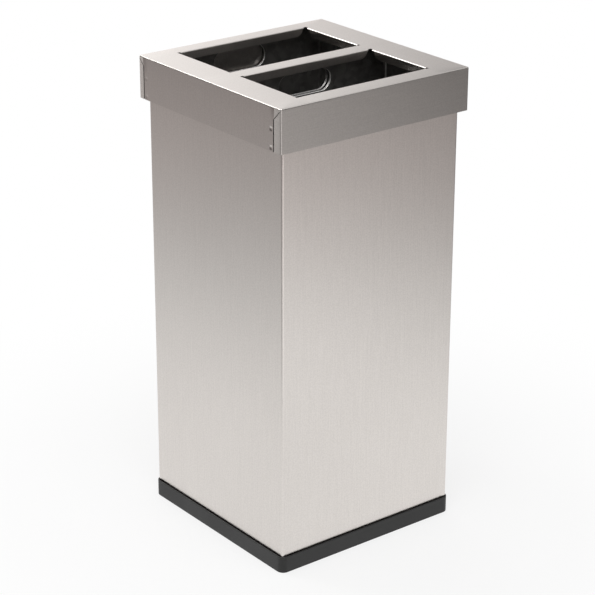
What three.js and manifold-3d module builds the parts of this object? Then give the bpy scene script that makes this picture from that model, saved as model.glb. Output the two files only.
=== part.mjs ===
// Double recycling bin: a square casing of folded stainless sheet on a black moulded ring,
// two galvanised liners side by side in it, and a lift-off lid with an opening over each liner.
// Millimetres, +Z up, front towards -Y, origin on the floor under the middle of the bin.
import * as THREE from 'three';
import { mergeVertices } from 'three/addons/utils/BufferGeometryUtils.js';
import Module from 'manifold-3d';

const wasm = await Module();
wasm.setup();

// ---- Overall ----
const HEIGHT = 800; // floor to the lid's top face
const CASING_SIDE = 358; // outer side of the square casing
const LID_OVERHANG = 11; // lid beyond the casing on every side

// ---- Lid ----
const LID_SHEET = 1.2;
const LID_PLAY = 1.8; // inside the skirts, to the casing's seat flange
const LID_FOLD = 2.2; // outer radius of the folds round the lid's top
const LID_CORNER = 2.8; // outer radius of the lid's vertical corners
const SKIRT_DEPTH = 72;
const FRONT_BORDER = 35.5; // front edge of the lid to the front opening
const REAR_BORDER = 30.5; // rear edge of the lid to the rear opening
const SIDE_BORDER = 58.5; // each side edge of the lid to the openings
const DIVIDER = 31; // bar of lid between the two openings
const LIP_DEPTH = 14; // turned-down lips round each opening
const LIP_GAP = 3.5; // each end of a lip, short of the opening's corner
const LIP_BEVEL = 8; // how far a lip's end slopes in over its depth
const FRONT_TAB = 18; // end tabs of the front skirt, seen round the corner
const REAR_TAB = 13.5; // end tabs of the rear skirt
const TAB_LAP = 14; // hidden end of a tab, behind the side skirt
const TAB_SLIT = 0.6; // open line between tab and side skirt

// ---- Casing ----
const CASING_SHEET = 1;
const CASING_CORNER = 3.5; // outer radius of the casing's vertical folds
const CASING_FOLD = 2.5; // outer radius of the fold into the top flange
const SEAM_SLIT = 0.5; // butt line of the wrap, down the rear wall
const SEAM_PLACE = 130; // butt line from the middle of the rear wall
const SEAM_STRIP_WIDTH = 30;
const SEAM_STRIP_SHEET = 1;
const SEAM_STRIP_START = 6; // above the tray's flange
const SEAM_STRIP_END = 22; // below the casing's mouth

// ---- Floor tray ----
const TRAY_SHEET = 1;
const TRAY_FLANGE = 26;

// ---- Base ring ----
const RING_HEIGHT = 29;
const GROOVE = 2.3; // open line between casing and ring, along the sides
const GROOVE_CORNER = 0.4; // what is left of the groove at the casing's corners
const RING_WALL = 2;
const RING_SEAT = 8; // height at which the casing stands in the ring
const RING_LEDGE = 12; // height at which the tray lies on the ring
const RING_REACH = 22; // from the casing's face inwards
const RING_WEB = 3;
const RING_RIB = 3;
const RING_FOOT = 6; // solid foot, from the casing's face inwards
const RING_PLAY = 0.5; // ring to the casing's inner face

// ---- Liners ----
const LINER_SHEET = 1;
const LINER_CORNER = 4; // outer radius of the liner's vertical folds
const LINER_RUN = 2; // liner's rim to the casing's inner face
const LINER_SPLIT = 3; // rim to rim between the two liners
const LINER_BELOW_LID = 3.8; // rim's top to the lid's underside
const RIM_REACH = 3.5; // rim turned out beyond the wall
const RIM_DROP = 7;
const RIM_ROUND = 1.5;
const GRIP_LENGTH = 106; // end to end of the grip hole
const GRIP_HEIGHT = 38;
const GRIP_BELOW_LID = 36; // middle of the grip hole below the lid's top face
const GRIP_COLLAR = 2.5; // edge of the grip hole turned outwards
const LAP_WIDTH = 16; // lap seam down the liner's end wall
const BASE_SHEET = 1;
const BASE_INSET = 10; // bottom plate above the liner's lower edge
const BASE_PLAY = 0.3;

// ---- Fasteners ----
const RIVET_SHANK = 1.6; // radius
const RIVET_HEAD = 3.2; // radius
const RIVET_HEAD_HEIGHT = 1.1;
const RIVET_TAIL = 2.3; // radius of the upset end
const RIVET_TAIL_HEIGHT = 1.5;
const RIVET_PLAY = 0.3; // radial, in the holes
const RIVET_COUNT = 4; // down a liner's seam
const RIVET_END = 60; // first and last rivet to the liner's ends
const FLOOR_RIVET_HEIGHT = 22;
const SCREW_SHANK = 1.75; // radius
const SCREW_HEAD = 4; // radius
const SCREW_HEAD_HEIGHT = 2.6;
const SCREW_LENGTH = 9;
const SCREW_INSET = 12.5; // from the casing's face
const FASTENER_SPREAD = 105; // fasteners on each side of a wall's middle

// ---- Faceting ----
const CORNER_STEPS = 4; // in a quarter round
const GRIP_STEPS = 12; // in each round end of a grip hole
const ROUND_STEPS = 10; // round a fastener

// ---- Worked out ----
const CASING_HALF = CASING_SIDE / 2;
const LID_HALF = CASING_HALF + LID_OVERHANG;
const LID_UNDER = HEIGHT - LID_SHEET;
const SKIRT_END = HEIGHT - SKIRT_DEPTH;
const CASING_INNER = CASING_HALF - CASING_SHEET;
const CASING_INNER_CORNER = CASING_CORNER - CASING_SHEET;
const MOUTH = LID_UNDER; // the lid's underside lies on the seat flange
const TRAY_TOP = RING_LEDGE + TRAY_SHEET;
const TRAY_END = RING_LEDGE + TRAY_FLANGE;
const RIM_TOP = LID_UNDER - LINER_BELOW_LID;
const LINER_OUT_X = CASING_INNER - LINER_RUN - RIM_REACH;
const LINER_OUT_NEAR = LINER_SPLIT / 2 + RIM_REACH;
const GRIP_Z = HEIGHT - GRIP_BELOW_LID;
const LINER_PLATE = TRAY_TOP + BASE_INSET;
// The groove's corner radius that leaves GROOVE_CORNER outside the casing's rounded corner.
const SEAT_CORNER = CASING_CORNER + (GROOVE * Math.SQRT2 - GROOVE_CORNER) / (Math.SQRT2 - 1);
// The lid sits on a flange turned out round the casing's mouth, inside the skirts.
const SEAT_FLANGE = LID_OVERHANG - LID_SHEET - LID_PLAY;
const OPENING_LENGTH = 2 * (LID_HALF - SIDE_BORDER);
const OPENING_DEPTH = (2 * LID_HALF - FRONT_BORDER - REAR_BORDER - DIVIDER) / 2;
const OPENINGS = [
  -LID_HALF + FRONT_BORDER + OPENING_DEPTH / 2,
  -LID_HALF + FRONT_BORDER + OPENING_DEPTH * 1.5 + DIVIDER,
];

// ---- Finishes ----
const finish = (name, color, roughness, metalness) => {
  const material = new THREE.MeshStandardMaterial({ color, roughness, metalness });
  material.name = name;
  return material;
};
const stainless = () => finish('brushed_stainless', 0xb9b4ae, 0.35, 1);
const galvanised = () => finish('galvanised_steel', 0x7c7f80, 0.5, 1);
const blackPlastic = () => finish('black_plastic', 0x2c2c2b, 0.6, 0);
const rivetAlloy = () => finish('rivet_alloy', 0xa9abad, 0.4, 1);
const zincedSteel = () => finish('zinced_screw', 0x9a9c9f, 0.35, 1);

// ---- Making and joining solids ----
function toSolid(geometry) {
  const bare = geometry.clone();
  bare.deleteAttribute('normal');
  bare.deleteAttribute('uv');
  const merged = mergeVertices(bare, 1e-4);
  return new wasm.Manifold(new wasm.Mesh({
    numProp: 3,
    vertProperties: new Float32Array(merged.attributes.position.array),
    triVerts: new Uint32Array(merged.index.array),
  }));
}

function toMesh(name, solid, material) {
  const made = solid.getMesh();
  const geometry = new THREE.BufferGeometry();
  geometry.setAttribute('position', new THREE.BufferAttribute(new Float32Array(made.vertProperties), 3));
  geometry.setIndex(new THREE.BufferAttribute(new Uint32Array(made.triVerts), 1));
  geometry.computeVertexNormals();
  const mesh = new THREE.Mesh(geometry, material);
  mesh.name = name;
  return mesh;
}

const join = (solids) => solids.reduce((whole, solid) => whole.add(solid));

function box(x0, x1, y0, y1, z0, z1) {
  const geometry = new THREE.BoxGeometry(x1 - x0, y1 - y0, z1 - z0);
  geometry.translate((x0 + x1) / 2, (y0 + y1) / 2, (z0 + z1) / 2);
  return toSolid(geometry);
}

// Corner points of a rectangle with round corners, anticlockwise from above.
function roundedOutline({ x0, x1, y0, y1, r }) {
  const centres = [
    [x1 - r, y0 + r, -Math.PI / 2],
    [x1 - r, y1 - r, 0],
    [x0 + r, y1 - r, Math.PI / 2],
    [x0 + r, y0 + r, Math.PI],
  ];
  const points = [];
  for (const [cx, cy, start] of centres) {
    for (let i = 0; i <= CORNER_STEPS; i += 1) {
      const angle = start + (i / CORNER_STEPS) * (Math.PI / 2);
      points.push([cx + r * Math.cos(angle), cy + r * Math.sin(angle)]);
    }
  }
  return points;
}

// A solid through rounded rectangles stacked from the lowest level to the highest.
function stack(levels) {
  const rings = levels.map((level) => roundedOutline(level));
  const count = rings[0].length;
  const position = [];
  const index = [];
  rings.forEach((ring, k) => ring.forEach(([x, y]) => position.push(x, y, levels[k].z)));
  for (let k = 0; k + 1 < rings.length; k += 1) {
    for (let i = 0; i < count; i += 1) {
      const a = k * count + i;
      const b = k * count + ((i + 1) % count);
      index.push(a, b, b + count, a, b + count, a + count);
    }
  }
  const top = (rings.length - 1) * count;
  for (let i = 1; i + 1 < count; i += 1) {
    index.push(0, i + 1, i);
    index.push(top, top + i, top + i + 1);
  }
  const geometry = new THREE.BufferGeometry();
  geometry.setAttribute('position', new THREE.Float32BufferAttribute(position, 3));
  geometry.setIndex(index);
  return toSolid(geometry);
}

const grow = (plan, by) => ({
  x0: plan.x0 - by,
  x1: plan.x1 + by,
  y0: plan.y0 - by,
  y1: plan.y1 + by,
  r: plan.r + by,
});

const square = (half, r) => ({ x0: -half, x1: half, y0: -half, y1: half, r });

const column = (plan, z0, z1) => stack([{ ...plan, z: z0 }, { ...plan, z: z1 }]);

// A column whose top edge is rounded over by the radius.
function roundTopped(plan, z0, z1, radius) {
  const levels = [{ ...plan, z: z0 }];
  for (let i = 0; i <= CORNER_STEPS; i += 1) {
    const angle = (i / CORNER_STEPS) * (Math.PI / 2);
    levels.push({
      ...grow(plan, -radius * (1 - Math.cos(angle))),
      z: z1 - radius * (1 - Math.sin(angle)),
    });
  }
  return stack(levels);
}

// A section drawn as [outwards, up], run along a side wall of the given length.
// Turned 0 it faces -Y; each quarter turn brings it to the next side.
function alongSide(section, length, quarter) {
  const shape = new THREE.Shape(section.map(([out, up]) => new THREE.Vector2(out, up)));
  const geometry = new THREE.ExtrudeGeometry(shape, { depth: length, bevelEnabled: false });
  geometry.translate(0, 0, -length / 2);
  // shape x -> -Y (outwards), shape y -> +Z, depth -> -X
  const basis = new THREE.Matrix4().makeBasis(
    new THREE.Vector3(0, -1, 0),
    new THREE.Vector3(0, 0, 1),
    new THREE.Vector3(-1, 0, 0),
  );
  geometry.applyMatrix4(basis);
  geometry.rotateZ(quarter * (Math.PI / 2));
  return toSolid(geometry);
}

function arc(cx, cy, r, from, to, steps) {
  const points = [];
  for (let i = 0; i <= steps; i += 1) {
    const angle = from + ((to - from) * i) / steps;
    points.push([cx + r * Math.cos(angle), cy + r * Math.sin(angle)]);
  }
  return points;
}

// ---- Casing: wrap of stainless sheet with a flange turned out round its mouth ----
function casingShell() {
  const outer = square(CASING_HALF, CASING_CORNER);
  const wallEnd = MOUTH - CASING_FOLD;
  const walls = column(outer, RING_SEAT, wallEnd)
    .subtract(column(grow(outer, -CASING_SHEET), RING_SEAT - 1, wallEnd + 1));
  const bend = CASING_INNER + CASING_FOLD;
  const section = [
    ...arc(bend, wallEnd, CASING_FOLD - CASING_SHEET, Math.PI, Math.PI / 2, CORNER_STEPS),
    [CASING_HALF + SEAT_FLANGE, MOUTH - CASING_SHEET],
    [CASING_HALF + SEAT_FLANGE, MOUTH],
    ...arc(bend, wallEnd, CASING_FOLD, Math.PI / 2, Math.PI, CORNER_STEPS),
  ];
  const flat = 2 * (CASING_HALF - CASING_CORNER);
  const flanges = [0, 1, 2, 3].map((quarter) => alongSide(section, flat, quarter));
  const slit = box(SEAM_PLACE - SEAM_SLIT / 2, SEAM_PLACE + SEAM_SLIT / 2, 0, LID_HALF, 0, HEIGHT);
  const holes = sidePlaces(FLOOR_RIVET_HEIGHT, CASING_HALF).map((place) => (
    rivetHole(place, CASING_SHEET + TRAY_SHEET)));
  return join([walls, ...flanges]).subtract(slit).subtract(join(holes));
}

function seamStrip() {
  return box(
    SEAM_PLACE - SEAM_STRIP_WIDTH / 2,
    SEAM_PLACE + SEAM_STRIP_WIDTH / 2,
    CASING_INNER - SEAM_STRIP_SHEET,
    CASING_INNER,
    TRAY_END + SEAM_STRIP_START,
    MOUTH - SEAM_STRIP_END,
  );
}

// ---- Floor tray: flanges turned up against the casing's inner face ----
function casingFloor() {
  const plan = square(CASING_INNER, CASING_INNER_CORNER);
  const inner = grow(plan, -TRAY_SHEET);
  const rivetHoles = sidePlaces(FLOOR_RIVET_HEIGHT, CASING_HALF).map((place) => (
    rivetHole(place, CASING_SHEET + TRAY_SHEET)));
  const screwHoles = sidePlaces(RING_LEDGE, CASING_HALF - SCREW_INSET).map((place) => screwHole(place));
  return column(plan, RING_LEDGE, TRAY_END)
    .subtract(column(inner, TRAY_TOP, TRAY_END + 1))
    .subtract(join([...rivetHoles, ...screwHoles]));
}

// ---- Base ring: moulded channel that takes the casing's lower edge ----
function baseRing() {
  const seat = square(CASING_HALF + GROOVE, SEAT_CORNER);
  const outer = grow(seat, RING_WALL);
  const ledge = square(CASING_INNER - RING_PLAY, CASING_INNER_CORNER);
  const eye = square(CASING_HALF - RING_REACH, CASING_CORNER);
  const foot = square(CASING_HALF - RING_FOOT, CASING_CORNER);
  const rib = grow(eye, RING_RIB);
  const screwHoles = sidePlaces(RING_LEDGE, CASING_HALF - SCREW_INSET).map((place) => screwHole(place));
  const channel = column(foot, -1, RING_LEDGE - RING_WEB)
    .subtract(column(rib, -2, RING_LEDGE));
  return roundTopped(outer, 0, RING_HEIGHT, RING_WALL / 2)
    .subtract(column(seat, RING_SEAT, RING_HEIGHT + 1))
    .add(column(ledge, RING_SEAT - 1, RING_LEDGE))
    .subtract(column(eye, -1, RING_HEIGHT + 1))
    .subtract(channel)
    .subtract(join(screwHoles));
}

// ---- Fasteners ----
// Two places on each side of the square, as { angle, along, out, z }.
function sidePlaces(z, out) {
  const places = [];
  for (let quarter = 0; quarter < 4; quarter += 1) {
    for (const along of [-FASTENER_SPREAD, FASTENER_SPREAD]) {
      places.push({ angle: quarter * (Math.PI / 2), along, out, z });
    }
  }
  return places;
}

// Moves a shape made round the Z axis to a place on a side, its +Z pointing outwards.
function toSide(geometry, place) {
  geometry.rotateX(Math.PI / 2);
  geometry.translate(place.along, -place.out, place.z);
  geometry.rotateZ(place.angle);
  return toSolid(geometry);
}

// Moves a shape made round the Z axis to a place on a side, still upright.
function toFloor(geometry, place) {
  geometry.translate(place.along, -place.out, place.z);
  geometry.rotateZ(place.angle);
  return toSolid(geometry);
}

const lathe = (profile) => new THREE.LatheGeometry(
  profile.map(([r, y]) => new THREE.Vector2(r, y)),
  ROUND_STEPS,
).rotateX(Math.PI / 2);

// Round bar from a low to a high level along Z.
const bar = (radius, low, high) => lathe([[0, low], [radius, low], [radius, high], [0, high]]);

function rivetHole(place, grip) {
  return toSide(bar(RIVET_SHANK + RIVET_PLAY, -grip - 1, 1), place);
}

function screwHole(place) {
  return toFloor(bar(SCREW_SHANK + RIVET_PLAY, -RING_WEB - 1, TRAY_SHEET + 1), place);
}

// Blind rivet: domed head outside at level 0, shank through the sheets, upset end inside.
function rivetShape(grip) {
  return lathe([
    [0, -grip - RIVET_TAIL_HEIGHT],
    [RIVET_TAIL, -grip - RIVET_TAIL_HEIGHT],
    [RIVET_TAIL, -grip],
    [RIVET_SHANK, -grip],
    [RIVET_SHANK, 0],
    [RIVET_HEAD, 0],
    [RIVET_HEAD * 0.75, RIVET_HEAD_HEIGHT * 0.8],
    [0, RIVET_HEAD_HEIGHT],
  ]);
}

// Screw driven upwards: head under the ring's web, level 0 at the tray's underside.
function screwShape() {
  const seat = -RING_WEB;
  return lathe([
    [0, seat - SCREW_HEAD_HEIGHT],
    [SCREW_HEAD * 0.7, seat - SCREW_HEAD_HEIGHT],
    [SCREW_HEAD, seat - SCREW_HEAD_HEIGHT * 0.4],
    [SCREW_HEAD, seat],
    [SCREW_SHANK, seat],
    [SCREW_SHANK, seat + SCREW_LENGTH - SCREW_SHANK],
    [SCREW_SHANK * 0.2, seat + SCREW_LENGTH],
    [0, seat + SCREW_LENGTH],
  ]);
}

// ---- Lid: one folded blank ----
// Lip along one side of an opening: fold and leg, with sloped ends.
function openingLip(side, half, quarter) {
  const length = side - 2 * LIP_GAP;
  const inside = LID_FOLD - LID_SHEET;
  const turn = HEIGHT - LID_FOLD;
  const section = [
    [half, HEIGHT - LIP_DEPTH],
    ...arc(half + LID_FOLD, turn, LID_FOLD, Math.PI, Math.PI / 2, CORNER_STEPS),
    [half + LID_FOLD + LID_SHEET, HEIGHT],
    [half + LID_FOLD + LID_SHEET, LID_UNDER],
    ...arc(half + LID_FOLD, turn, inside, Math.PI / 2, Math.PI, CORNER_STEPS),
    [half + LID_SHEET, HEIGHT - LIP_DEPTH],
  ];
  const lip = alongSide(section, length, quarter);
  const ends = [-1, 1].map((end) => {
    const shape = new THREE.Shape([
      new THREE.Vector2(end * (length / 2 - LIP_BEVEL), HEIGHT - LIP_DEPTH),
      new THREE.Vector2(end * (length / 2 - LIP_BEVEL), HEIGHT - LIP_DEPTH - 1),
      new THREE.Vector2(end * (length / 2 + 1), HEIGHT - LIP_DEPTH - 1),
      new THREE.Vector2(end * (length / 2 + 1), HEIGHT),
      new THREE.Vector2(end * (length / 2), HEIGHT),
    ]);
    const wedge = new THREE.ExtrudeGeometry(shape, { depth: LID_SHEET + 2, bevelEnabled: false });
    wedge.rotateX(Math.PI / 2);
    wedge.translate(0, -half + 1, 0);
    wedge.rotateZ(quarter * (Math.PI / 2));
    return toSolid(wedge);
  });
  return lip.subtract(join(ends));
}

// The sheet is cut back to where the lips' folds start, which leaves a notch at each corner.
function lidOpening(centreY) {
  const halfX = OPENING_LENGTH / 2;
  const halfY = OPENING_DEPTH / 2;
  const hole = box(
    -halfX - LID_FOLD,
    halfX + LID_FOLD,
    centreY - halfY - LID_FOLD,
    centreY + halfY + LID_FOLD,
    LID_UNDER - 1,
    HEIGHT + 1,
  );
  const lips = join([0, 1, 2, 3].map((quarter) => (quarter % 2 === 0
    ? openingLip(OPENING_LENGTH, halfY, quarter)
    : openingLip(OPENING_DEPTH, halfX, quarter)))).translate([0, centreY, 0]);
  return { hole, lips };
}

// Open line between an end tab and the side skirt: sloped from the corner, then straight down.
function tabSlit(sideX, endY, tab) {
  const bend = LID_HALF - tab;
  const slope = HEIGHT - LID_FOLD - tab;
  const h = TAB_SLIT / 2;
  const shape = new THREE.Shape([
    new THREE.Vector2(bend - h, SKIRT_END - 1),
    new THREE.Vector2(bend + h, SKIRT_END - 1),
    new THREE.Vector2(bend + h, slope - h),
    new THREE.Vector2(LID_HALF - LID_CORNER + h, slope + tab - LID_CORNER - h),
    new THREE.Vector2(LID_HALF - LID_CORNER - h, slope + tab - LID_CORNER + h),
    new THREE.Vector2(bend - h, slope + h),
  ]);
  const depth = LID_SHEET + 0.02;
  const band = new THREE.ExtrudeGeometry(shape, { depth, bevelEnabled: false });
  // shape x -> +Y, shape y -> +Z, depth -> +X
  band.applyMatrix4(new THREE.Matrix4().makeBasis(
    new THREE.Vector3(0, 1, 0),
    new THREE.Vector3(0, 0, 1),
    new THREE.Vector3(1, 0, 0),
  ));
  band.translate(LID_HALF - LID_SHEET, 0, 0);
  const solid = toSolid(band);
  const placed = endY < 0 ? solid.mirror([0, 1, 0]) : solid;
  return sideX < 0 ? placed.mirror([1, 0, 0]) : placed;
}

// Hidden end of a tab, lying behind the side skirt that is welded to it.
function tabLap(sideX, endY, tab) {
  const bend = LID_HALF - tab;
  const face = LID_HALF - LID_SHEET;
  const far = [bend - TAB_LAP, bend + TAB_SLIT * 2].map((y) => y * endY);
  const deep = [face - LID_SHEET, face].map((x) => x * sideX);
  return box(
    Math.min(...deep),
    Math.max(...deep),
    Math.min(...far),
    Math.max(...far),
    SKIRT_END + 1,
    HEIGHT - LID_FOLD - tab - 1,
  );
}

function lidPan() {
  const plan = square(LID_HALF, LID_CORNER);
  const pan = roundTopped(plan, SKIRT_END, HEIGHT, LID_FOLD)
    .subtract(roundTopped(grow(plan, -LID_SHEET), SKIRT_END - 1, LID_UNDER, LID_FOLD - LID_SHEET));
  const openings = OPENINGS.map((y) => lidOpening(y));
  const ends = [[-1, -1, FRONT_TAB], [1, -1, FRONT_TAB], [-1, 1, REAR_TAB], [1, 1, REAR_TAB]];
  const slits = join(ends.map((end) => tabSlit(...end)));
  const laps = ends.map((end) => tabLap(...end));
  return join([
    pan.subtract(join(openings.map(({ hole }) => hole))).subtract(slits),
    ...openings.map(({ lips }) => lips),
    ...laps,
  ]);
}

// ---- Liners ----
function gripBar(radius, y0, y1) {
  const half = GRIP_LENGTH / 2 - GRIP_HEIGHT / 2;
  const shape = new THREE.Shape();
  shape.absarc(half, GRIP_Z, radius, -Math.PI / 2, Math.PI / 2, false);
  shape.absarc(-half, GRIP_Z, radius, Math.PI / 2, Math.PI * 1.5, false);
  shape.closePath();
  const geometry = new THREE.ExtrudeGeometry(shape, {
    depth: y1 - y0,
    bevelEnabled: false,
    curveSegments: GRIP_STEPS,
  });
  geometry.rotateX(Math.PI / 2);
  geometry.translate(0, y1, 0);
  return toSolid(geometry);
}

function linerPlan() {
  return {
    x0: -LINER_OUT_X,
    x1: LINER_OUT_X,
    y0: -LINER_OUT_X,
    y1: -LINER_OUT_NEAR,
    r: LINER_CORNER,
  };
}

// Heights of the rivets in the lap seam, evenly spread.
function seamHeights() {
  const low = TRAY_TOP + RIVET_END;
  const high = RIM_TOP - RIVET_END;
  return Array.from({ length: RIVET_COUNT }, (_, i) => low + ((high - low) * i) / (RIVET_COUNT - 1));
}

// The lap seam runs down the end wall at -X, in the middle of the liner.
function seamPlaces() {
  const plan = linerPlan();
  const middle = (plan.y0 + plan.y1) / 2;
  return seamHeights().map((z) => ({
    angle: -Math.PI / 2,
    along: -middle,
    out: LINER_OUT_X + LINER_SHEET,
    z,
  }));
}

function linerShell() {
  const plan = linerPlan();
  const inside = grow(plan, -LINER_SHEET);
  const middle = (plan.y0 + plan.y1) / 2;
  const rim = roundTopped(grow(plan, RIM_REACH), RIM_TOP - RIM_DROP, RIM_TOP, RIM_ROUND)
    .subtract(column(grow(plan, RIM_REACH - LINER_SHEET), RIM_TOP - RIM_DROP - 1, RIM_TOP - LINER_SHEET));
  const walls = column(plan, TRAY_TOP, RIM_TOP - LINER_SHEET / 2);
  const lap = box(
    plan.x0 - LINER_SHEET,
    plan.x0 + LINER_SHEET / 2,
    middle - LAP_WIDTH / 2,
    middle + LAP_WIDTH / 2,
    TRAY_TOP,
    RIM_TOP - RIM_DROP - 1,
  );
  const wallFaces = [
    [plan.y0 - GRIP_COLLAR, plan.y0 + LINER_SHEET],
    [plan.y1 - LINER_SHEET, plan.y1 + GRIP_COLLAR],
  ];
  const radius = GRIP_HEIGHT / 2;
  const collars = wallFaces.map(([y0, y1]) => gripBar(radius + LINER_SHEET, y0, y1));
  const grips = wallFaces.map(([y0, y1]) => gripBar(radius, y0 - 1, y1 + 1));
  const holes = seamPlaces().map((place) => rivetHole(place, LINER_SHEET * 2));
  const hollow = stack([
    { ...inside, z: TRAY_TOP - 1 },
    { ...inside, z: RIM_TOP - RIM_ROUND / 2 },
    { ...grow(inside, RIM_ROUND / 4), z: RIM_TOP - RIM_ROUND / 4 },
    { ...grow(inside, RIM_ROUND / 2), z: RIM_TOP + RIM_ROUND / 100 },
  ]);
  return join([walls, rim, lap])
    .subtract(hollow)
    .add(join(collars))
    .subtract(join([...grips, ...holes]));
}

function linerBase() {
  const plan = grow(linerPlan(), -LINER_SHEET - BASE_PLAY);
  return column(plan, TRAY_TOP, LINER_PLATE + BASE_SHEET)
    .subtract(column(grow(plan, -BASE_SHEET), TRAY_TOP - 1, LINER_PLATE));
}

// ---- The bin ----
const bin = new THREE.Group();

const casing = new THREE.Group();
casing.add(toMesh('casing_shell', casingShell(), stainless()));
casing.add(toMesh('casing_seam_strip', seamStrip(), stainless()));
casing.add(toMesh('casing_floor', casingFloor(), galvanised()));
casing.add(toMesh('base_ring', baseRing(), blackPlastic()));
sidePlaces(FLOOR_RIVET_HEIGHT, CASING_HALF).forEach((place, i) => {
  const rivet = toSide(rivetShape(CASING_SHEET + TRAY_SHEET), place);
  casing.add(toMesh(`floor_rivet_${i + 1}`, rivet, rivetAlloy()));
});
sidePlaces(RING_LEDGE, CASING_HALF - SCREW_INSET).forEach((place, i) => {
  casing.add(toMesh(`base_screw_${i + 1}`, toFloor(screwShape(), place), zincedSteel()));
});
bin.add(casing);

const lid = new THREE.Group();
lid.add(toMesh('lid_pan', lidPan(), stainless()));
bin.add(lid);

// The rear liner is the front one turned half round about the bin's middle.
for (const [which, turn] of [['front', 0], ['rear', 180]]) {
  const liner = new THREE.Group();
  const turned = (solid) => solid.rotate([0, 0, turn]);
  liner.add(toMesh(`liner_${which}_shell`, turned(linerShell()), galvanised()));
  liner.add(toMesh(`liner_${which}_base`, turned(linerBase()), galvanised()));
  seamPlaces().forEach((place, i) => {
    const rivet = turned(toSide(rivetShape(LINER_SHEET * 2), place));
    liner.add(toMesh(`liner_${which}_rivet_${i + 1}`, rivet, rivetAlloy()));
  });
  bin.add(liner);
}

export default bin;
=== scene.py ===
"""A double recycling bin: brushed stainless casing and lid, two metal liners, black base ring."""

from math import cos, pi, radians

import bmesh
import bpy
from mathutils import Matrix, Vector


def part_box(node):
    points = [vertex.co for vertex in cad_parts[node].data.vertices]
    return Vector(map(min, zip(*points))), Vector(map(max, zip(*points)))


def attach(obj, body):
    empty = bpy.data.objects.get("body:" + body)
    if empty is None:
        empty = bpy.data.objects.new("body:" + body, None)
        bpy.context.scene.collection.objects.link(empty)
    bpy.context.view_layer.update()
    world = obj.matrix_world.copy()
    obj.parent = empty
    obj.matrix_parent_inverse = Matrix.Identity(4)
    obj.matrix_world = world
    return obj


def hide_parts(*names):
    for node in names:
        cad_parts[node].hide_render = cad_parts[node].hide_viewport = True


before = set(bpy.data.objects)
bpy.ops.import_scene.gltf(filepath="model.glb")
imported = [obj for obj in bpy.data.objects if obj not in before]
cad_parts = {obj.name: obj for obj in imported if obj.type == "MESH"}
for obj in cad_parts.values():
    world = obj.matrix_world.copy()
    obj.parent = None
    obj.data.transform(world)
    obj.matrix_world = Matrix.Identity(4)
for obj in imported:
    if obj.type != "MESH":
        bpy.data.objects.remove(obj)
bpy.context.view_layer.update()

# ---- Camera ----
# A long lens held well above the lid, looking down at the bin's front left corner. Its place, turn and
# focal length were fitted to the edges of the lid, the openings and the ring in the photo.
CAMERA_PLACE = (-2.0234, -2.5824, 1.7321)
LINE_OF_SIGHT = Vector((0.56907, 0.72957, -0.37934))
ROLL_DEGREES = 0.15
FOCAL_LENGTH = 127.08
SENSOR_WIDTH = 36

bpy.ops.object.camera_add(location=CAMERA_PLACE)
camera = bpy.context.object
camera.name = "camera"
camera.rotation_euler = LINE_OF_SIGHT.to_track_quat("-Z", "Y").to_euler()
camera.rotation_euler.rotate_axis("Z", radians(ROLL_DEGREES))
camera.data.lens = FOCAL_LENGTH
camera.data.sensor_width = SENSOR_WIDTH
bpy.context.scene.camera = camera
bpy.context.scene.view_settings.view_transform = "Standard"

# ---- Floor and light ----
# The bin stands on a white studio floor under a wide soft lamp. In the metal the wall behind it shows
# bright and the room before and beside it dark. To the camera all beyond the faint shadow is white.


class Wire:
    """A socket of a node tree. Python's operators on it add Math nodes."""

    def __init__(self, tree, socket=None):
        self.tree = tree
        self.socket = socket

    def node(self, kind, inputs=(), output=0, **settings):
        made = self.tree.nodes.new("ShaderNode" + kind)
        for name, value in settings.items():
            setattr(made, name, value)
        for name, value in dict(inputs).items():
            if isinstance(value, Wire):
                self.tree.links.new(value.socket, made.inputs[name])
            else:
                made.inputs[name].default_value = value
        return Wire(self.tree, made.outputs[output] if made.outputs else None)

    def math(self, operation, other=0.0):
        return self.node("Math", {0: self, 1: other}, operation=operation)

    def __add__(self, other):
        return self.math("ADD", other)

    def __sub__(self, other):
        return self.math("SUBTRACT", other)

    def __rsub__(self, other):
        return self * -1 + other

    def __mul__(self, other):
        return self.math("MULTIPLY", other)

    __radd__ = __add__
    __rmul__ = __mul__

    def ease(self, low, high):
        """0 up to low, 1 from high, smooth between."""
        return self.node(
            "MapRange",
            {"Value": self, "From Min": low, "From Max": high},
            interpolation_type="SMOOTHSTEP",
        )

    def tint(self, dark, light):
        """A colour between two, by this value."""
        return self.node("Mix", {0: self, 6: (*dark, 1), 7: (*light, 1)}, output=2, data_type="RGBA")


def new_tree(owner):
    owner.use_nodes = True
    owner.node_tree.nodes.clear()
    return Wire(owner.node_tree)


def facing(tree, spot, side=(0, 1, 0)):
    """How far a direction or a place lies to a side of the bin, which is behind it if none is given:
    1 is straight that way, 0 square to it and -1 opposite."""
    flat = tree.node("VectorMath", {0: spot, 1: (1, 1, 0)}, operation="MULTIPLY")
    flat = tree.node("VectorMath", {0: flat}, operation="NORMALIZE")
    return tree.node("VectorMath", {0: flat, 1: side}, output="Value", operation="DOT_PRODUCT")


# The room's strengths, and between which values of facing or of height each part begins.
ROOM_BESIDE = 0.05
ROOM_BEHIND, BEHIND_FROM = 1.2, (0.67, 0.86)
ROOM_BEFORE, BEFORE_FROM = 0.06, (0.7, 0.84)
ROOM_LOW, LOW_UP_TO = 0.12, (0.05, 0.25)
ROOM_CEILING, CEILING_FROM = 0.9, (0.4, 0.85)
BACKDROP, BACKDROP_FROM = 1.2, (0.88, 0.97)
BACKDROP_SIDE = (0.61, 0.79, 0)
WARM_FROM = (0.3, 0.1)
WHITE = (1, 1, 1)
WARM_WALL = (1, 0.92, 0.9)

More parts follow.
